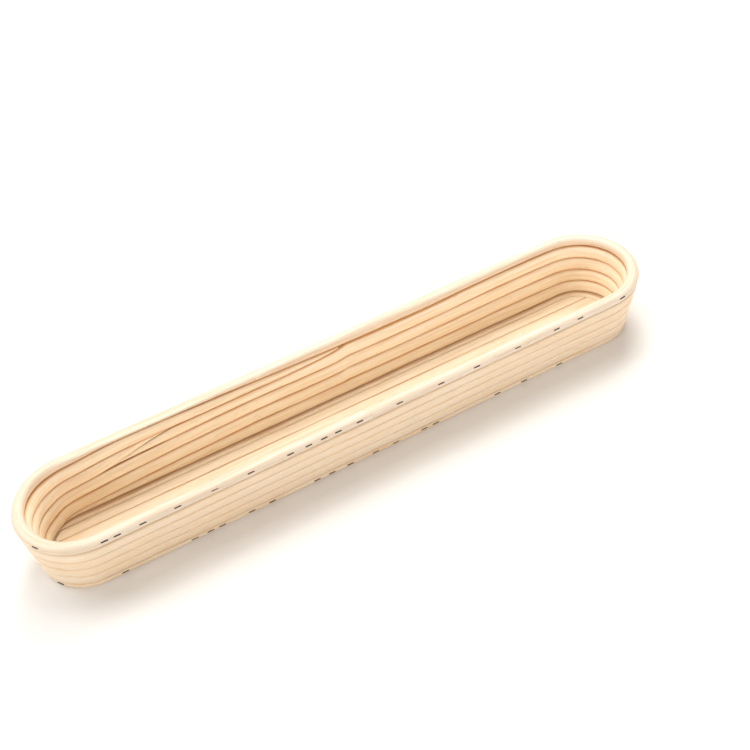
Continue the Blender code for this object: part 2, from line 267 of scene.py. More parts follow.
# ------------------------------------------------------------------------- cane finishes
class NodeBoard:
    """A material's node tree, with short calls for the nodes that the finishes use."""

    def __init__(self, name: str) -> None:
        """Make an empty material with a shader and an output.

        Args:
            name: The material's name.
        """
        self.material = bpy.data.materials.new(name)
        self.material.use_nodes = True
        self.tree = self.material.node_tree
        self.shader = self.tree.nodes["Principled BSDF"]

    def link(self, source: bpy.types.NodeSocket, target: bpy.types.NodeSocket) -> None:
        """Join two sockets."""
        self.tree.links.new(source, target)

    def attribute(self, name: str, kind: str) -> bpy.types.NodeSocket:
        """A value or vector that the mesh carries at its vertices.

        Args:
            name: The attribute's name.
            kind: Vector for a vector, Fac for a value.

        Returns:
            The attribute.
        """
        node = self.tree.nodes.new("ShaderNodeAttribute")
        node.attribute_name = name
        return node.outputs[kind]

    def noise(self, vector: bpy.types.NodeSocket, scale: Scale, detail: float,
              shift: float = 0.0) -> bpy.types.NodeSocket:
        """Noise that is stretched by its own scale on each axis.

        Args:
            vector: The coordinates.
            scale: How often the noise changes along each axis, per metre.
            detail: Octaves of finer noise.
            shift: Moves the noise along the first axis.

        Returns:
            The noise value.
        """
        mapping = self.tree.nodes.new("ShaderNodeMapping")
        mapping.inputs["Location"].default_value = (shift, shift * 0.37, shift * 0.71)
        mapping.inputs["Scale"].default_value = scale
        self.link(vector, mapping.inputs["Vector"])
        node = self.tree.nodes.new("ShaderNodeTexNoise")
        node.inputs["Scale"].default_value = 1.0
        node.inputs["Detail"].default_value = detail
        node.inputs["Roughness"].default_value = 0.55
        self.link(mapping.outputs["Vector"], node.inputs["Vector"])
        return node.outputs["Fac"]

    def spread(self, value: bpy.types.NodeSocket, source: tuple[float, float],
               target: tuple[float, float]) -> bpy.types.NodeSocket:
        """Stretch a value from one range to another, clamped, with eased ends.

        Args:
            value: The value.
            source: The range that it has.
            target: The range that it gets.

        Returns:
            The stretched value.
        """
        node = self.tree.nodes.new("ShaderNodeMapRange")
        node.interpolation_type = "SMOOTHSTEP"
        node.inputs["From Min"].default_value = source[0]
        node.inputs["From Max"].default_value = source[1]
        node.inputs["To Min"].default_value = target[0]
        node.inputs["To Max"].default_value = target[1]
        self.link(value, node.inputs["Value"])
        return node.outputs["Result"]

    def maths(self, operation: str, first: bpy.types.NodeSocket,
              second: bpy.types.NodeSocket | float) -> bpy.types.NodeSocket:
        """One sum on two values.

        Args:
            operation: The kind of sum.
            first: The first value.
            second: The second, as a socket or a plain number.

        Returns:
            The result.
        """
        node = self.tree.nodes.new("ShaderNodeMath")
        node.operation = operation
        self.link(first, node.inputs[0])
        if isinstance(second, float):
            node.inputs[1].default_value = second
        else:
            self.link(second, node.inputs[1])
        return node.outputs[0]

    def blend(self, factor: bpy.types.NodeSocket, first: bpy.types.NodeSocket | Colour,
              second: bpy.types.NodeSocket | Colour) -> bpy.types.NodeSocket:
        """Mix two colours by a factor.

        Args:
            factor: 0 gives the first colour, 1 the second.
            first: A colour, or a socket that gives one.
            second: The same.

        Returns:
            The mixed colour.
        """
        node = self.tree.nodes.new("ShaderNodeMix")
        node.data_type = "RGBA"
        self.link(factor, node.inputs["Factor"])
        for colour, socket in ((first, node.inputs[6]), (second, node.inputs[7])):
            if isinstance(colour, tuple):
                socket.default_value = (*colour, 1.0)
            else:
                self.link(colour, socket)
        return node.outputs[2]

    def bump(self, height: bpy.types.NodeSocket, strength: float, distance: float) -> None:
        """Raise the shader's surface by a height value.

        Args:
            height: The height value.
            strength: How much of the relief shows.
            distance: Height of a full value, in metres.
        """
        node = self.tree.nodes.new("ShaderNodeBump")
        node.inputs["Strength"].default_value = strength
        node.inputs["Distance"].default_value = distance
        self.link(height, node.inputs["Height"])
        self.link(node.outputs["Normal"], self.shader.inputs["Normal"])


@dataclass(frozen=True)
class CaneFinish:
    """Peeled rattan: pale, with lengthwise fibre, and brown where canes press together, with
    painted light on the inside and painted shade low on each inner cane.
    """

    name: str
    pale: Colour
    warm: Colour
    # the inside's colour: paler than the outside, painted light on the basket's interior
    inner: Colour
    streak: Colour
    joint: Colour
    roughness: float = 0.48
    relief: float = 0.55
    relief_height: float = 0.00035
    joint_depth: float = 0.9
    gloss: float = 0.38
    # how often each pattern changes along and across the cane, per metre
    fibre_scale: Scale = (55.0, 2100.0, 2100.0)
    streak_scale: Scale = (16.0, 520.0, 520.0)
    tone_scale: Scale = (8.0, 45.0, 45.0)
    fleck_scale: Scale = (170.0, 1300.0, 1300.0)

    def material(self) -> bpy.types.Material:
        """Build the material, which reads the cane's own straightened coordinates.

        Returns:
            The cane material.
        """
        board = NodeBoard(self.name)
        grain = board.attribute("grain", "Vector")
        fibres = board.noise(grain, self.fibre_scale, 3.0)
        streaks = board.noise(grain, self.streak_scale, 2.0, 7.3)
        tone = board.noise(grain, self.tone_scale, 2.0, 3.1)
        flecks = board.noise(grain, self.fleck_scale, 1.0, 11.7)

        colour = board.blend(board.spread(tone, (0.35, 0.65), (0.0, 1.0)), self.pale, self.warm)
        # painted light: the inside of each cane is blended towards the paler inner colour
        inside_light_share = board.spread(board.attribute("inside_light_share", "Fac"), (0.35, 0.75), (0.0, 0.85))
        colour = board.blend(inside_light_share, colour, self.inner)
        colour = board.blend(board.spread(streaks, (0.42, 0.70), (0.0, 0.70)), colour, self.streak)
        colour = board.blend(board.spread(fibres, (0.46, 0.74), (0.0, 0.60)), colour, self.streak)
        colour = board.blend(board.spread(flecks, (0.70, 0.80), (0.0, 0.55)), colour, self.joint)
        # the joint share is the joint stain plus painted shade on the lower part of each inner
        # cane
        pressed = board.spread(board.attribute("joint", "Fac"), (0.08, 0.95), (0.0, 1.0))
        stained = board.spread(streaks, (0.25, 0.60), (0.75, 1.0))
        pressed = board.maths("MULTIPLY", board.maths("MULTIPLY", pressed, stained),
                              self.joint_depth)
        colour = board.blend(pressed, colour, self.joint)
        board.link(colour, board.shader.inputs["Base Color"])

        rough = board.spread(streaks, (0.30, 0.70), (self.roughness - 0.07, self.roughness + 0.10))
        board.link(rough, board.shader.inputs["Roughness"])
        board.shader.inputs["Specular IOR Level"].default_value = self.gloss
        height = board.maths("ADD", board.maths("MULTIPLY", fibres, 0.6),
                             board.maths("MULTIPLY", streaks, 0.9))
        board.bump(height, self.relief, self.relief_height)
        return board.material


@dataclass(frozen=True)
class EndGrainFinish:
    """The sawn end of a cane: darker, with open pores."""

    name: str
    face: Colour
    pore: Colour
    pore_scale: Scale = (60.0, 2400.0, 2400.0)
    cloud_scale: Scale = (50.0, 500.0, 500.0)
    pore_sink: float = -0.0002

    def material(self) -> bpy.types.Material:
        """Build the material, with pores as round cells across the cane.

        Returns:
            The end-grain material.
        """
        board = NodeBoard(self.name)
        grain = board.attribute("grain", "Vector")
        mapping = board.tree.nodes.new("ShaderNodeMapping")
        mapping.inputs["Scale"].default_value = self.pore_scale
        board.link(grain, mapping.inputs["Vector"])
        cells = board.tree.nodes.new("ShaderNodeTexVoronoi")
        cells.inputs["Scale"].default_value = 1.0
        board.link(mapping.outputs["Vector"], cells.inputs["Vector"])
        pores = board.spread(cells.outputs["Distance"], (0.15, 0.40), (1.0, 0.0))
        cloud = board.noise(grain, self.cloud_scale, 2.0)
        body = board.blend(board.spread(cloud, (0.3, 0.7), (0.0, 0.5)), self.face, self.pore)
        board.link(board.blend(pores, body, self.pore), board.shader.inputs["Base Color"])
        board.link(board.spread(cloud, (0.3, 0.7), (0.68, 0.85)), board.shader.inputs["Roughness"])
        board.bump(pores, 0.5, self.pore_sink)
        return board.material


@dataclass(frozen=True)
class WireFinish:
    """Dull drawn steel wire, with brown spots where damp flour has marked it."""

    name: str
    steel: Colour
    spots: Colour
    metal: float = 0.35
    spot_scale: Scale = (900.0, 900.0, 900.0)
    drawn_scale: Scale = (350.0, 5200.0, 5200.0)
    scratch: float = 0.00008

    def material(self) -> bpy.types.Material:
        """Build the material on the object's own coordinates.

        Returns:
            The wire material.
        """
        board = NodeBoard(self.name)
        coordinates = board.tree.nodes.new("ShaderNodeTexCoord").outputs["Object"]
        marks = board.noise(coordinates, self.spot_scale, 3.0)
        drawn = board.noise(coordinates, self.drawn_scale, 2.0)
        share = board.spread(marks, (0.45, 0.62), (0.0, 0.8))
        board.link(board.blend(share, self.steel, self.spots), board.shader.inputs["Base Color"])
        board.link(board.spread(marks, (0.4, 0.65), (0.48, 0.72)),
                   board.shader.inputs["Roughness"])
        board.shader.inputs["Metallic"].default_value = self.metal
        board.bump(drawn, 0.25, self.scratch)
        return board.material


@dataclass(frozen=True)
class PaperFinish:
    """The matt pale sweep that the basket stands on."""

    name: str
    colour: Colour
    cloud_scale: Scale = (3.0, 3.0, 3.0)
    paler: float = 1.02
    roughness: float = 0.9

    def material(self) -> bpy.types.Material:
        """Build the material.

        Returns:
            The paper material.
        """
        board = NodeBoard(self.name)
        coordinates = board.tree.nodes.new("ShaderNodeTexCoord").outputs["Object"]
        cloud = board.noise(coordinates, self.cloud_scale, 2.0)
        paler = tuple(min(1.0, part * self.paler) for part in self.colour)
        board.link(board.blend(cloud, self.colour, paler), board.shader.inputs["Base Color"])
        board.shader.inputs["Roughness"].default_value = self.roughness
        return board.material


# The fourth colour of each cane finish is its inside colour, set paler than the outside as painted
# light on the interior; the last is the joint colour, also used for painted shade.
RIM_FINISH = CaneFinish("peeled_rattan_rim", (0.83, 0.715, 0.59), (0.81, 0.68, 0.54),
                        (0.86, 0.73, 0.59), (0.76, 0.57, 0.39), (0.56, 0.29, 0.11),
                        roughness=0.44, joint_depth=0.40)
WALL_FINISH = CaneFinish("peeled_rattan_wall", (0.86, 0.71, 0.545), (0.84, 0.66, 0.48),
                         (0.99, 0.87, 0.68), (0.87, 0.66, 0.43), (0.70, 0.33, 0.085))
FLOOR_FINISH = CaneFinish("peeled_rattan_floor", (0.95, 0.83, 0.65), (0.93, 0.79, 0.60),
                          (0.95, 0.82, 0.63), (0.86, 0.66, 0.44), (0.62, 0.32, 0.11),
                          roughness=0.52)
BASE_FINISH = CaneFinish("peeled_rattan_base", (0.88, 0.73, 0.56), (0.86, 0.68, 0.50),
                         (0.97, 0.83, 0.63), (0.80, 0.58, 0.37), (0.46, 0.18, 0.035))
END_FINISH = EndGrainFinish("sawn_rattan_end", (0.62, 0.42, 0.24), (0.20, 0.10, 0.04))
WIRE_FINISH = WireFinish("drawn_staple_wire", (0.050, 0.042, 0.034), (0.07, 0.036, 0.016))


# -------------------------------------------------------------------------- cane blanks
@dataclass(frozen=True)
class Section:
    """A cane's cross section as shares of its depth and height.

    Depth 0 is the outer face and 1 the inner one. The two faces are rounded on their own:
    2 is a half round, and more is squarer. A crown lifts the middle of the top, and a belly
    draws the outer face in towards its top and bottom.
    """

    shoulder: float
    outer_round: float
    inner_round: float
    crown: float = 0.0
    belly: float = 0.0

    def trace(self, around: Array) -> tuple[Array, Array]:
        """Go once round the section.

        Args:
            around: Share of the way round, from 0 to 1.

        Returns:
            The share of the depth and of the height at every point.
        """
        angle = 2.0 * math.pi * around
        across, up = np.cos(angle), np.sin(angle)
        power = np.where(across >= 0.0, 2.0 / self.inner_round, 2.0 / self.outer_round)
        out = np.abs(across) ** power
        lift = np.sign(up) * np.abs(up) ** power
        depth = np.where(across >= 0.0, self.shoulder + (1.0 - self.shoulder) * out,
                         self.shoulder * (1.0 - out))
        depth = depth + self.belly * lift ** 2 * (across < 0.0)
        swell = self.crown * (1.0 - (2.0 * depth - 1.0) ** 2) * (lift > 0.0)
        return depth, 0.5 + 0.5 * lift * (1.0 - self.crown + swell)


@dataclass(frozen=True)
class Skin:
    """What a cane's skin becomes once it is wound: places, straight coordinates, joints."""

    places: Array
    grain: Array
    joint: Array
    inside_light_share: Array


@dataclass
class CaneBlank:
    """A flat sheet of cane skin, which is rolled up, closed at both ends and dressed."""

    name: str
    steps: int
    around: int
    finish: CaneFinish
    slot: Slot

    def make(self, wind: Callable[[Array, Array], Skin],
             materials: dict[str, bpy.types.Material]) -> bpy.types.Object:
        """Roll and wind the sheet.

        Args:
            wind: Gives the skin for shares along and around the cane.
            materials: The basket's materials by name.

        Returns:
            The finished cane.
        """
        deselect()
        bpy.ops.mesh.primitive_grid_add(x_subdivisions=self.steps, y_subdivisions=self.around,
                                        size=1.0, location=(0.0, 0.0, 0.0))
        piece = bpy.context.active_object
        piece.name = piece.data.name = self.name
        flat = np.zeros(len(piece.data.vertices) * 3, np.float32)
        piece.data.vertices.foreach_get("co", flat)
        flat = flat.reshape(-1, 3).astype(float) + 0.5
        skin = wind(np.clip(flat[:, 0], 0.0, 1.0), np.clip(flat[:, 1], 0.0, 1.0))
        piece.data.vertices.foreach_set("co", skin.places.astype(np.float32).ravel())
        self.store(piece.data, skin)
        self.close(piece)
        piece.data.materials.append(materials[self.finish.name])
        piece.data.materials.append(materials[END_FINISH.name])
        for face in piece.data.polygons:
            face.material_index = 1 if len(face.vertices) > 4 else 0
        settle(piece)
        return piece

    def store(self, mesh: bpy.types.Mesh, skin: Skin) -> None:
        """Keep the straight coordinates and joint shares at the vertices.

        Args:
            mesh: The wound mesh.
            skin: Its skin.
        """
        grain = mesh.attributes.new("grain", "FLOAT_VECTOR", "POINT")
        grain.data.foreach_set("vector", skin.grain.astype(np.float32).ravel())
        for label, values in (("joint", skin.joint), ("inside_light_share", skin.inside_light_share)):
            layer = mesh.attributes.new(label, "FLOAT", "POINT")
            layer.data.foreach_set("value", values.astype(np.float32))

    def close(self, piece: bpy.types.Object) -> None:
        """Merge the seam, cap both ends and point the faces outwards.

        Args:
            piece: The wound cane, selected and active.
        """
        bpy.ops.object.mode_set(mode="EDIT")
        bpy.ops.mesh.select_all(action="SELECT")
        bpy.ops.mesh.remove_doubles(threshold=SEAM)
        bpy.ops.mesh.select_all(action="SELECT")
        bpy.ops.mesh.fill_holes(sides=0)
        bpy.ops.mesh.select_all(action="SELECT")
        bpy.ops.mesh.normals_make_consistent(inside=False)
        bpy.ops.mesh.select_all(action="DESELECT")
        bpy.ops.object.mode_set(mode="OBJECT")
        bpy.ops.object.shade_smooth_by_angle(angle=SHARP)
        piece.select_set(False)


@dataclass(frozen=True)
class JointStainAndShade:
    """Brown stain where canes press together, strong inside and faint on the sanded outside, with
    painted shade on the lower part of each inner cane.
    """

    outer_reach: float = 0.00033
    inner_reach: float = 0.00063
    outer_share: float = 0.22
    painted_shade_share: float = 0.55          # painted shade: a wider, weaker darkening on the lower part of every inner cane, above its joint
    painted_shade_reach: float = 0.0016
    inner_from: float = 0.35          # shares of the depth where the inside begins
    inner_to: float = 0.75

    def inside(self, depth: Array) -> Array:
        """How much a point belongs to the inside."""
        return smooth(depth, self.inner_from, self.inner_to)

    def share(self, rise: Array, height: Array, depth: Array) -> Array:
        """How deeply a point of a cane is stained, with painted shade added low on an inner cane.

        Args:
            rise: Share of the cane's height.
            height: The cane's height, in metres.
            depth: Share of its depth.

        Returns:
            The stain and painted shade, up to 1 at a joint on the inside.
        """
        inner = self.inside(depth)
        near = np.minimum(rise, 1.0 - rise) * height
        reach = self.outer_reach + (self.inner_reach - self.outer_reach) * inner
        line = np.exp(-near / reach) * (self.outer_share + (1.0 - self.outer_share) * inner)
        # painted shade: darker towards the bottom of every inner cane, where its underside is in
        # shade
        damp = self.painted_shade_share * inner * np.exp(-rise * height / self.painted_shade_reach)
        return np.maximum(line, damp)


STAIN_AND_SHADE = JointStainAndShade()


# ----------------------------------------------------------------------------- the wall
@dataclass
class CoiledWall:
    """The wall: two lengths of cane wound as one coil and joined by a long scarf."""

    plan: Plan
    turns: int = 4
    start_x: float = -0.225       # the coil starts here, just past the left tip
    full_x: float = -0.060        # the first turn has its full height from here
    start_power: float = 0.5      # below 1, so that it rises fast and then slower
    tail_x: float = 0.016         # the last part turn ends here
    tail: float = 0.200           # and thins over this length
    tail_power: float = 0.4
    squeeze: float = 0.26         # how much the turn under the tail is pressed flat
    squeeze_in_x: tuple[float, float] = (-0.190, -0.060)
    squeeze_out_x: tuple[float, float] = (-0.050, 0.025)
    scarf_from_x: float = -0.178
    scarf_to_x: float = -0.120
    scarf_gap: float = 0.008      # share of the height left open in the scarf
    feather: float = 0.03
    least: float = 0.00012        # height of a feathered tip
    tip_cut: float = 0.002        # and the length trimmed off it
    thin_below: float = 0.0080    # a cane lower than this is also less deep
    thin_in: float = 0.0022       # by this much at its tip
    even_top: float = 0.05        # length over which the joints turn even below the rim
    step: float = 0.0055
    around: int = 32
    uneven_joint: float = 0.00013
    uneven_face: float = 0.00028
    set_in: float = 0.9           # keeps the unevenness inside the plan
    grain_depth: float = 0.011
    cut_stain: float = 0.20       # share of the stain that shows on the scarf's cuts
    foot_joint_shade_reach: float = 0.0010    # reach of the full joint colour along the wall's foot, inside, widened into painted shade in the corner over the base ring
    section: Section = Section(shoulder=0.70, outer_round=6.5, inner_round=2.3, belly=0.05)

    def far(self, x: float, turn: int = 0) -> float:
        """The run at x on the far side, on a given turn of the coil."""
        return turn * self.plan.lap + self.plan.run_at(x, Side.FAR)

    @property
    def end(self) -> float:
        """Run where the coil ends."""
        return self.far(self.tail_x, self.turns)

    @property
    def scarf(self) -> tuple[float, float]:
        """Runs where the scarf between the two lengths begins and ends."""
        turn = self.turns - 1
        return self.far(self.scarf_from_x, turn), self.far(self.scarf_to_x, turn)

    def weight(self, run: Array) -> Array:
        """Relative height of the cane along its whole run, thin at its two tips.

        Args:
            run: Distances along the whole coil.

        Returns:
            The relative height at every distance.
        """
        start, full = self.far(self.start_x), self.far(self.full_x)
        opening = np.clip((run - start) / (full - start), 0.0, 1.0) ** self.start_power
        closing = np.clip((self.end - run) / self.tail, 0.0, 1.0) ** self.tail_power
        pressed = [self.far(x, self.turns - 1) for x in self.squeeze_in_x]
        freed = [self.far(x, self.turns - 1) for x in self.squeeze_out_x]
        under = smooth(run, *pressed) * (1.0 - smooth(run, *freed))
        return opening * closing * (1.0 - self.squeeze * under)

    def joint_wave(self, run: Array) -> Array:
        """Unevenness of the joint over the cane, none at the top of the wall.

        Args:
            run: Distances along the whole coil.

        Returns:
            How far the joint stands above its even place.
        """
        top = self.end - self.plan.lap
        below = 1.0 - smooth(run, top - self.even_top, top)
        begun = smooth(run, self.far(self.start_x), self.far(self.full_x))
        return self.uneven_joint * wobble(run, 5) * below * begun

    def shares(self, run: Array) -> tuple[Array, Array]:
        """Shares of the wall's height that lie below the cane and in it.

        Args:
            run: Distances along the whole coil.

        Returns:
            The share below the cane and its own share.
        """
        lap = self.plan.lap
        spot = np.mod(run, lap)
        number = np.floor_divide(run, lap)
        total, below, own = np.zeros_like(run), np.zeros_like(run), np.zeros_like(run)
        for turn in range(self.turns + 1):
            share = self.weight(turn * lap + spot)
            total += share
            below += np.where(turn < number, share, 0.0)
            own += np.where(turn == number, share, 0.0)
        return below / total, own / total

    def kept(self, run: Array, upper: bool) -> tuple[Array, Array]:
        """The part of the cane's height that one length has, less than all in the scarf.

        Args:
            run: Distances along the whole coil.
            upper: Whether this is the upper length.

        Returns:
            The shares of the height where it begins and ends.
        """
        first, last = self.scarf
        slope = np.clip((run - first) / (last - first), self.feather, 1.0 - self.feather)
        if upper:
            return 0.0 * run, np.where(run <= last, slope, 1.0)
        return np.where(run >= first, slope + self.scarf_gap, 0.0), np.ones_like(run)

    def skin(self, first: float, last: float, upper: bool, along: Array, around: Array) -> Skin:
        """Wind one length of cane.

        Args:
            first: Run where it starts.
            last: Run where it ends.
            upper: Whether this is the upper length.
            along: Shares along the cane.
            around: Shares round its section.

        Returns:
            The wound skin.
        """
        plan = self.plan
        run = first + (last - first) * along
        depth, rise = self.section.trace(around)
        below, own = self.shares(run)
        room = plan.wall_top - plan.wall_foot + plan.swell(run, depth)
        foot = plan.wall_foot + room * below + self.joint_wave(run - plan.lap)
        top = plan.wall_foot + room * (below + own) + self.joint_wave(run)
        low, high = self.kept(run, upper)
        foot, top = foot + (top - foot) * low, foot + (top - foot) * high
        height = np.maximum(top - foot - HAIRLINE, self.least)
        z = foot + HAIRLINE / 2.0 + height * rise
        thin = 1.0 - np.clip(height / self.thin_below, 0.0, 1.0)
        outer = plan.outside(run, z) + self.uneven_face * (self.set_in + wobble(run, 8))
        inner = plan.inside(z) - self.uneven_face * wobble(run, 9) - self.thin_in * thin
        places = plan.spots(run, outer + (inner - outer) * depth, z)
        grain = np.stack([run, depth * self.grain_depth, rise * height], axis=1)
        slanted = np.where(rise > 0.5, high < 1.0, low > 0.0)
        # joint stain, with painted shade on the lower part of each inner cane
        joint = STAIN_AND_SHADE.share(rise, height, depth) * np.where(slanted, self.cut_stain, 1.0)
        # the joint line at the inside foot of the first turn, widened at full strength as painted
        # shade in the corner over the base ring
        foot_joint_and_shade = STAIN_AND_SHADE.inside(depth) * (run < plan.lap) * np.exp(-rise * height / self.foot_joint_shade_reach)
        return Skin(places, grain, np.maximum(joint, foot_joint_and_shade), depth)

    def build(self, materials: dict[str, bpy.types.Material]) -> None:
        """Build both lengths in the place of the plain ones.

        Args:
            materials: The basket's materials by name.
        """
        first = self.far(self.start_x) + self.tip_cut
        last = self.end - self.tip_cut
        for name, node, start, stop, upper in (
                ("coil_lower", "wall_cane_lower", first, self.scarf[1], False),
                ("coil_upper", "wall_cane_upper", self.scarf[0], last, True)):
            blank = CaneBlank(name, round((stop - start) / self.step), self.around,
                              WALL_FINISH, Slot.WALL)
            cane = blank.make(partial(self.skin, start, stop, upper), materials)
            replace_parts(cane, node)


# ---------------------------------------------------------------------- rim and base ring
@dataclass
class LevelCane:
    """A level cane that follows the plan from one slanted splice to the next."""

    name: str
    node: str
    plan: Plan
    start: float
    stop: float
    foot: float
    top: float
    section: Section
    finish: CaneFinish
    slot: Slot
    outer: Callable[[Array, Array], Array]
    inner: Callable[[Array, Array], Array]
    lift: Callable[[Array, Array], Array]
    stain: Callable[[Array, Array, Array], Array]
    seed: int
    slant: float = 0.007          # how far an end's cut runs along the cane
    slant_over: float = 0.02      # and the length that it fades over
    step: float = 0.0045
    around: int = 28
    uneven: float = 0.00018
    set_in: float = 1.4           # keeps the unevenness inside the plan
    grain_depth: float = 0.009

    def skin(self, along: Array, around: Array) -> Skin:
        """Wind the cane, with both ends cut on a slant.

        Args:
            along: Shares along the cane.
            around: Shares round its section.

        Returns:
            The wound skin.
        """
        depth, rise = self.section.trace(around)
        level = self.start + (self.stop - self.start) * along
        near_end = np.maximum(1.0 - smooth(level, self.start, self.start + self.slant_over),
                              smooth(level, self.stop - self.slant_over, self.stop))
        run = level + self.slant * (depth - 0.5) * near_end
        foot = self.foot + self.lift(run, depth)
        height = self.top - foot
        z = foot + height * rise + self.uneven * wobble(level, self.seed) * rise
        outer = self.outer(run, z) + self.uneven * (self.set_in + wobble(level, self.seed + 1))
        inner = self.inner(run, z) - self.uneven * wobble(level, self.seed + 2)
        places = self.plan.spots(run, outer + (inner - outer) * depth, z)
        grain = np.stack([level + self.seed, depth * self.grain_depth, rise * height], axis=1)
        return Skin(places, grain, self.stain(rise, height, depth), depth)

    def build(self, materials: dict[str, bpy.types.Material]) -> None:
        """Build the cane in the place of the plain one.

        Args:
            materials: The basket's materials by name.
        """
        steps = round((self.stop - self.start) / self.step)
        blank = CaneBlank(self.name, steps, self.around, self.finish, self.slot)
        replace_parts(blank.make(self.skin, materials), self.node)


@dataclass
class Rim:
    """The rim: two bent lengths of round cane that meet on the two long sides."""

    plan: Plan
    depth: float = 0.0090
    splice_far_x: float = -0.058
    splice_near_x: float = -0.005
    split: float = 0.00012
    lap_over: float = 0.0002      # how far the rim's foot reaches below the plan's
    section: Section = Section(shoulder=0.50, outer_round=2.1, inner_round=2.6)

    def outer(self, run: Array, z: Array) -> Array:
        """Inset of the outer side: none, the rim is the widest part."""
        return 0.0 * z

    def inner(self, run: Array, z: Array) -> Array:
        """Inset of the inner side."""
        return self.depth + 0.0 * z

    def stain(self, rise: Array, height: Array, depth: Array) -> Array:
        """The joint stain with its painted shade, on the underside only."""
        return np.where(rise < 0.5, STAIN_AND_SHADE.share(rise, height, depth), 0.0)

    def build(self, materials: dict[str, bpy.types.Material]) -> None:
        """Build both lengths.

        Args:
            materials: The basket's materials by name.
        """
        far = self.plan.run_at(self.splice_far_x, Side.FAR)
        near = self.plan.run_at(self.splice_near_x, Side.NEAR)
        for name, node, start, stop, seed in (
                ("rim_right", "rim_cane_right", far, near, 21),
                ("rim_left", "rim_cane_left", near, far + self.plan.lap, 31)):
            LevelCane(name, node, self.plan, start + self.split / 2.0, stop - self.split / 2.0,
                      self.plan.rim_foot - self.lap_over, self.plan.height, self.section,
                      RIM_FINISH, Slot.RIM, self.outer, self.inner, self.plan.swell,
                      self.stain, seed).build(materials)


@dataclass
class BaseRing:
    """The base ring: one flat cane under the wall, with the floor let into it."""

    plan: Plan
    height: float = 0.0050
    reach: float = 0.0239
    reach_left: float = 0.0287
    floor_side: float = 0.0005
    splice_x: float = 0.080
    split: float = 0.00015
    depth: float = 0.0119
    wall_share: float = 0.65      # the wall's inner face stands at this share of the depth
    under_wall: float = 0.4       # inwards of this share the stain is strong
    faint: float = 0.22           # and outwards of it this much is left
    top_reach: float = 0.0004     # how far the stain reaches down from the top
    edge_reach: float = 0.0010    # and sideways from the wall and the floor
    uneven: float = 0.00012
    section: Section = Section(shoulder=0.30, outer_round=3.6, inner_round=5.5)

    def inner(self, run: Array, z: Array) -> Array:
        """Inset of the inner edge, set back at the left end for the floor.

        Args:
            run: Distances along the outline.
            z: Heights above the table.

        Returns:
            The inset at every point.
        """
        towards_x, towards_y = self.plan.turn(run)[1:]
        beside = (self.reach + self.floor_side) / np.maximum(np.abs(towards_y), 0.5)
        left = np.minimum(self.reach_left, beside)
        return self.plan.radius - np.where(towards_x < -1e-6, left, self.reach)

    def stain(self, rise: Array, height: Array, depth: Array) -> Array:
        """The joint stain: under the wall and along the floor, not on the ledge between.

        Args:
            rise: Share of the ring's height.
            height: The ring's height, in metres.
            depth: Share of its depth.

        Returns:
            The stain at every point.
        """
        top = np.exp(-(1.0 - rise) * height / self.top_reach)
        edge = np.minimum(np.abs(depth - self.wall_share), 1.0 - depth) * self.depth
        return top * np.where(depth > self.under_wall, np.exp(-edge / self.edge_reach), self.faint)

    def build(self, materials: dict[str, bpy.types.Material]) -> None:
        """Build the ring.

        Args:
            materials: The basket's materials by name.
        """
        start = self.plan.run_at(self.splice_x, Side.FAR)
        LevelCane("foot_ring", "base_ring", self.plan, start + self.split / 2.0,
                  start + self.plan.lap - self.split / 2.0, 0.0, self.height, self.section,
                  BASE_FINISH, Slot.BASE, self.plan.outside, self.inner, self.plan.level,
                  self.stain, 41, uneven=self.uneven).build(materials)


# ------------------------------------------------------------------------- floor strips
@dataclass
class Floor:
    """The floor: parallel flat strips, round at the left end and sawn square at the right."""

    plan: Plan
    height: float = 0.0050
    widths: tuple[float, ...] = (0.0100, 0.0096, 0.0096, 0.0095, 0.0091)
    square_end: float = 0.2300
    clear: float = 0.0008
    reach: float = 0.0239
    reach_left: float = 0.0287
    split: float = 0.00016
    steps: int = 70
    around: int = 28
    uneven_top: float = 0.00018
    uneven_side: float = 0.00006
    grain_shift: float = 1.7      # moves the grain from one strip to the next
    edge_stain: float = 0.55
    edge_reach: float = 0.0006
    section: Section = Section(shoulder=0.50, outer_round=5.0, inner_round=5.0, crown=0.07)

    def ends(self, y: Array) -> tuple[Array, Array]:
        """Where a strip ends.

        Args:
            y: Places across the floor.

        Returns:
            The ends towards -X and towards +X.
        """
        straight = self.plan.straight
        left = np.sqrt(np.maximum(0.0, (self.reach_left - self.clear) ** 2 - y * y))
        right = np.sqrt(np.maximum(0.0, (self.reach - self.clear) ** 2 - y * y))
        return -straight - left, np.minimum(straight + right, self.square_end)

    def skin(self, low: float, high: float, seed: int, along: Array, around: Array) -> Skin:
        """Lay one strip.

        Args:
            low: Its edge towards -Y.
            high: Its edge towards +Y.
            seed: Picks its unevenness and grain.
            along: Shares along the strip.
            around: Shares round its section.

        Returns:
            The strip's skin.
        """
        depth, rise = self.section.trace(around)
        y = low + (high - low) * depth
        left, right = self.ends(y)
        x = left + (right - left) * along
        level = self.height + self.uneven_top * wobble(x, seed)
        y = y + self.uneven_side * wobble(x, seed + 3)
        z = rise * level
        places = np.stack([x, y, z], axis=1)
        grain = np.stack([x + self.grain_shift * seed, y, z], axis=1)
        near = np.minimum(depth, 1.0 - depth) * (high - low)
        joint = self.edge_stain * np.exp(-near / self.edge_reach)
        return Skin(places, grain, joint, 0.5 + 0.0 * x)

    def build(self, materials: dict[str, bpy.types.Material]) -> None:
        """Build every strip in the place of its plain one.

        Args:
            materials: The basket's materials by name.
        """
        edge = -sum(self.widths) / 2.0
        for number, width in enumerate(self.widths, start=1):
            low, high = edge + self.split / 2.0, edge + width - self.split / 2.0
            blank = CaneBlank(f"strip_{number}", self.steps, self.around, FLOOR_FINISH, Slot.FLOOR)
            strip = blank.make(partial(self.skin, low, high, 50 + number), materials)
            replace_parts(strip, f"floor_strip_{number}")
            edge += width


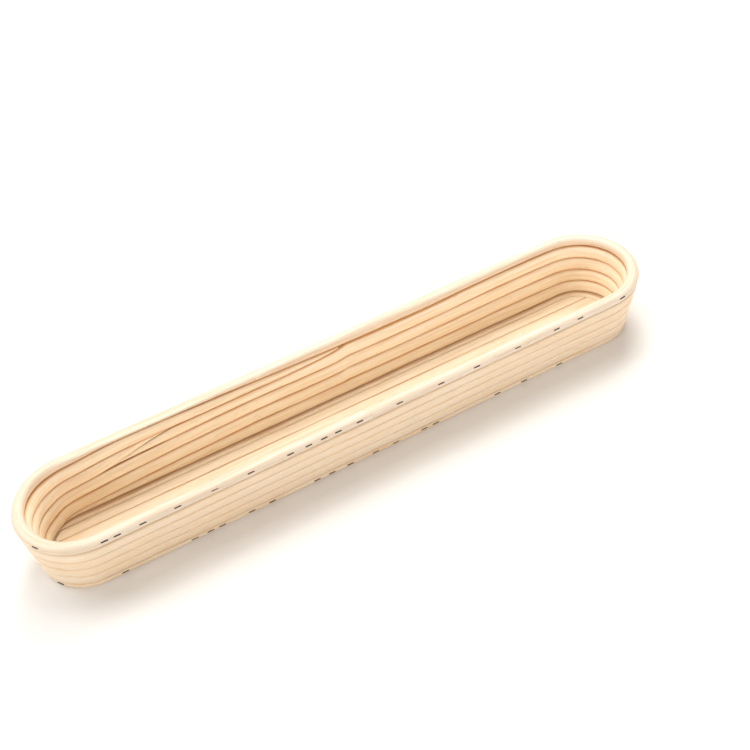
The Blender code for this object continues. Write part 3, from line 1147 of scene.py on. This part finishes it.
# ----------------------------------------------------------------------------- staples
@dataclass
class Staples:
    """Wire staples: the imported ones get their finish, and the unseen side gets its own."""

    plan: Plan
    wire: float = 0.0009
    width: float = 0.0050
    leg: float = 0.0040
    height: float = 0.0030
    proud: float = 0.0002                 # how far a crown stands off the base
    lean: float = math.radians(122.0)     # from straight down, inwards and up
    bevel_share: float = 0.18             # of the wire's thickness, on its worn edges
    far_mm: tuple[int, ...] = (-186, -151, -118, -96, -61, -33, -8, 24, 59, 92, 121, 158, 190)

    def dress(self, nodes: dict[str, bpy.types.Object], wire: bpy.types.Material) -> None:
        """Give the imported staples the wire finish.

        Args:
            nodes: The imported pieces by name.
            wire: The wire finish.
        """
        count = 0
        for name, node in nodes.items():
            if "staple" in name:
                for place in node.material_slots:
                    place.material = wire
                count += 1
        LOG.info("staples dressed: %d", count)

    def model(self) -> bpy.types.Mesh:
        """Model one staple: a crown bar with its two legs pulled out of it.

        Returns:
            The staple's mesh, crown along X and legs down.
        """
        deselect()
        bpy.ops.mesh.primitive_cube_add(size=1.0, scale=(self.width, self.wire, self.wire),
                                        location=(0.0, 0.0, -self.wire / 2.0))
        piece = bpy.context.active_object
        bpy.ops.object.transform_apply(location=True, rotation=True, scale=True)
        bpy.ops.object.mode_set(mode="EDIT")
        for side in (-1.0, 1.0):
            bpy.ops.mesh.select_all(action="SELECT")
            bpy.ops.mesh.bisect(plane_co=(side * (self.width / 2.0 - self.wire), 0.0, 0.0),
                                plane_no=(1.0, 0.0, 0.0))
        bpy.ops.mesh.select_all(action="DESELECT")
        bpy.ops.object.mode_set(mode="OBJECT")
        for face in piece.data.polygons:
            at_end = abs(face.center.x) > self.width / 2.0 - self.wire
            face.select = face.normal.z < -0.9 and at_end
        bpy.ops.object.mode_set(mode="EDIT")
        bpy.ops.mesh.extrude_region_move(
            TRANSFORM_OT_translate={"value": (0.0, 0.0, -self.leg)})
        bpy.ops.mesh.select_all(action="SELECT")
        bpy.ops.mesh.normals_make_consistent(inside=False)
        bpy.ops.object.mode_set(mode="OBJECT")
        bevel = piece.modifiers.new("worn_edges", "BEVEL")
        bevel.width = self.wire * self.bevel_share
        bevel.segments = 2
        bpy.ops.object.modifier_apply(modifier=bevel.name)
        mesh = piece.data.copy()
        bpy.data.objects.remove(piece)
        return mesh

    def build(self, nodes: dict[str, bpy.types.Object], wire: bpy.types.Material) -> None:
        """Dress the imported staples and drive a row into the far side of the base.

        Args:
            nodes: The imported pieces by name.
            wire: The wire finish.
        """
        self.dress(nodes, wire)
        pattern = self.model()
        for number, x in enumerate(self.far_mm, start=1):
            run = np.array([self.plan.run_at(x / 1000.0, Side.FAR)])
            inset = self.plan.outside(run, np.array([self.height])) - self.proud
            spot = Vector(self.plan.spots(run, inset, np.array([self.height]))[0])
            drive = Vector((0.0, -math.sin(self.lean), -math.cos(self.lean)))
            crown = Vector((-1.0, 0.0, 0.0))
            turn = Matrix((crown, (-drive).cross(crown), -drive)).transposed().to_4x4()
            mesh = pattern.copy()
            mesh.transform(Matrix.Translation(spot) @ turn)
            mesh.materials.clear()
            mesh.materials.append(wire)
            staple = bpy.data.objects.new(f"far_base_staple_{number:02d}", mesh)
            bpy.context.scene.collection.objects.link(staple)
            settle(staple)
        bpy.data.meshes.remove(pattern)


# ------------------------------------------------------------------------------ studio
@dataclass(frozen=True)
class Softbox:
    """A large round light that faces the basket."""

    name: str
    spot: tuple[float, float, float]
    size: float
    watts: float
    colour: Colour

    def build(self) -> None:
        """Hang the light."""
        light = bpy.data.lights.new(self.name, "AREA")
        light.shape = "DISK"
        light.size = self.size
        light.color = self.colour
        light.energy = self.watts
        lamp = bpy.data.objects.new(self.name, light)
        lamp.location = self.spot
        lamp.rotation_euler = (-Vector(self.spot)).to_track_quat("-Z", "Y").to_euler()
        bpy.context.scene.collection.objects.link(lamp)


@dataclass
class Studio:
    """Pale floor, soft keys from behind and above, low fills, and the camera."""

    floor_size: float = 8.0
    floor_colour: Colour = (0.88, 0.875, 0.87)
    sky: Colour = (1.0, 0.94, 0.88)
    sky_strength: float = 0.26
    boxes: tuple[Softbox, ...] = (
        Softbox("key_back_right", (0.75, 0.90, 1.4), 1.1, 20.0, (1.0, 0.97, 0.93)),
        Softbox("key_back_left", (-0.90, 0.8, 1.4), 1.1, 11.0, (0.97, 0.98, 1.0)),
        Softbox("key_above", (0.1, 0.40, 1.9), 0.9, 13.0, (1.0, 0.97, 0.92)),
        Softbox("fill_front_right", (0.9, -1.8, 0.75), 1.0, 17.5, (1.0, 0.98, 0.95)),
        Softbox("fill_left", (-1.8, -0.3, 0.6), 1.1, 13.0, (1.0, 0.98, 0.93)))
    lens: float = 62.09
    eye: tuple[float, float, float] = (-0.2569, -0.6199, 0.6913)
    right: tuple[float, float, float] = (0.86767, -0.48873, -0.09104)
    up: tuple[float, float, float] = (0.39779, 0.57271, 0.71678)

    def build(self) -> None:
        """Set up the floor, the lights and the camera."""
        deselect()
        bpy.ops.mesh.primitive_plane_add(size=self.floor_size, location=(0.0, 0.0, 0.0))
        floor = bpy.context.active_object
        floor.name = "paper_sweep"
        floor.data.materials.append(PaperFinish("matt_paper", self.floor_colour).material())

        world = bpy.data.worlds.new("soft_room")
        world.use_nodes = True
        sky = world.node_tree.nodes["Background"]
        sky.inputs["Color"].default_value = (*self.sky, 1.0)
        sky.inputs["Strength"].default_value = self.sky_strength
        bpy.context.scene.world = world

        for box in self.boxes:
            box.build()

        lens = bpy.data.cameras.new("camera")
        lens.lens = self.lens
        camera = bpy.data.objects.new("camera", lens)
        right, up = Vector(self.right).normalized(), Vector(self.up)
        back = right.cross(up).normalized()
        turn = Matrix((right, back.cross(right), back)).transposed().to_4x4()
        camera.matrix_world = Matrix.Translation(Vector(self.eye)) @ turn
        bpy.context.scene.collection.objects.link(camera)
        bpy.context.scene.camera = camera
        bpy.context.scene.view_settings.view_transform = "Standard"
        LOG.info("studio ready")


def main() -> None:
    """Build every sub-assembly in order."""
    logging.basicConfig(level=logging.INFO, format="%(name)s %(message)s")
    materials = {finish.name: finish.material()
                 for finish in (RIM_FINISH, WALL_FINISH, FLOOR_FINISH, BASE_FINISH,
                                END_FINISH, WIRE_FINISH)}
    Studio().build()
    plan = Plan()
    CoiledWall(plan).build(materials)
    Rim(plan).build(materials)
    BaseRing(plan).build(materials)
    Floor(plan).build(materials)
    Staples(plan).build(frame["nodes"], materials[WIRE_FINISH.name])


if __name__ == "__main__":
    main()
